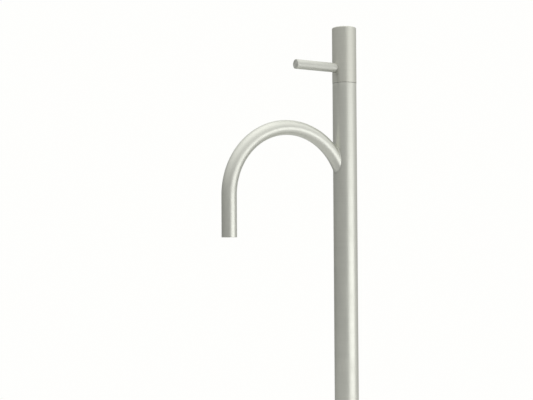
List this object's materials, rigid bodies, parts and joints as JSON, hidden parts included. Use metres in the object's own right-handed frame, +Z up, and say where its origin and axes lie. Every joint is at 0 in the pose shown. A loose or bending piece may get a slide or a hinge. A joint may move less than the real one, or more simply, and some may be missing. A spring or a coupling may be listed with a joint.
{
  "type": "garden standpipe",
  "caption": "Free-standing garden standpipe: plain round column, hooked fixed spout, turning top with a pin lever, ceramic valve inside and a round covered base.",
  "frame": {"origin": "on the column's axis at the underside of the base flange, which is the ground", "axes": "+Z up along the column, +X towards the spout and the lever at rest, +Y to the left seen from behind the column looking at the spout"},
  "size_m": [0.302, 0.14, 1],
  "materials": {
    "column_steel": "stainless steel, brushed round the tube",
    "head_steel": "stainless steel, turned and brushed",
    "lever_steel": "stainless steel, turned and brushed",
    "spout_steel": "stainless steel, brushed along the bend",
    "cover_steel": "spun stainless steel, brushed",
    "flange_steel": "stainless steel plate, as machined",
    "riser_steel": "drawn stainless steel",
    "strainer_steel": "punched stainless steel",
    "fastener_steel": "stainless steel, as machined",
    "valve_brass": "machined brass",
    "olive_brass": "turned soft brass",
    "valve_ceramic": "lapped alumina",
    "seal_rubber": "moulded black rubber",
    "glide_plastic": "black acetal",
    "jet_plastic": "moulded grey acetal",
    "jet_screen": "moulded pale acetal"
  },
  "bodies": {
    "standpipe": {"column_tube": "column_steel", "column_screws": "fastener_steel", "spout_tube": "spout_steel", "spout_weld": "spout_steel", "aerator_housing": "jet_plastic", "aerator_screen": "jet_screen", "aerator_seal": "seal_rubber", "valve_body": "valve_brass", "glide_ring": "glide_plastic", "cartridge_body": "valve_brass", "fixed_ceramic_disc": "valve_ceramic", "seat_seal": "seal_rubber", "riser_tube": "riser_steel", "riser_nut": "valve_brass", "riser_olive": "olive_brass", "chamber_plug": "valve_brass", "column_o_rings": "seal_rubber", "riser_o_rings": "seal_rubber", "base_flange": "flange_steel", "inlet_connector": "valve_brass", "riser_socket": "valve_brass", "inlet_seal": "seal_rubber", "inlet_strainer": "strainer_steel"},
    "head": {"control_head": "head_steel", "head_hub": "valve_brass", "control_lever": "lever_steel", "lever_stud": "fastener_steel", "head_grub_screw": "fastener_steel", "cartridge_spindle": "valve_brass", "spindle_clip": "fastener_steel", "spindle_o_ring": "seal_rubber", "moving_ceramic_disc": "valve_ceramic"},
    "cover": {"base_cover": "cover_steel", "cover_o_ring": "seal_rubber"}
  },
  "joints": [
    {"name": "head_turn", "type": "hinge", "parent": "standpipe", "child": "head", "pos_m": [0, 0, 0.95], "axis": [0, 0, 1], "range_deg": [0, 90]},
    {"name": "cover_lift", "type": "slide", "parent": "standpipe", "child": "cover", "axis": [0, 0, 1], "range_m": [0, 0.15]}
  ]
}
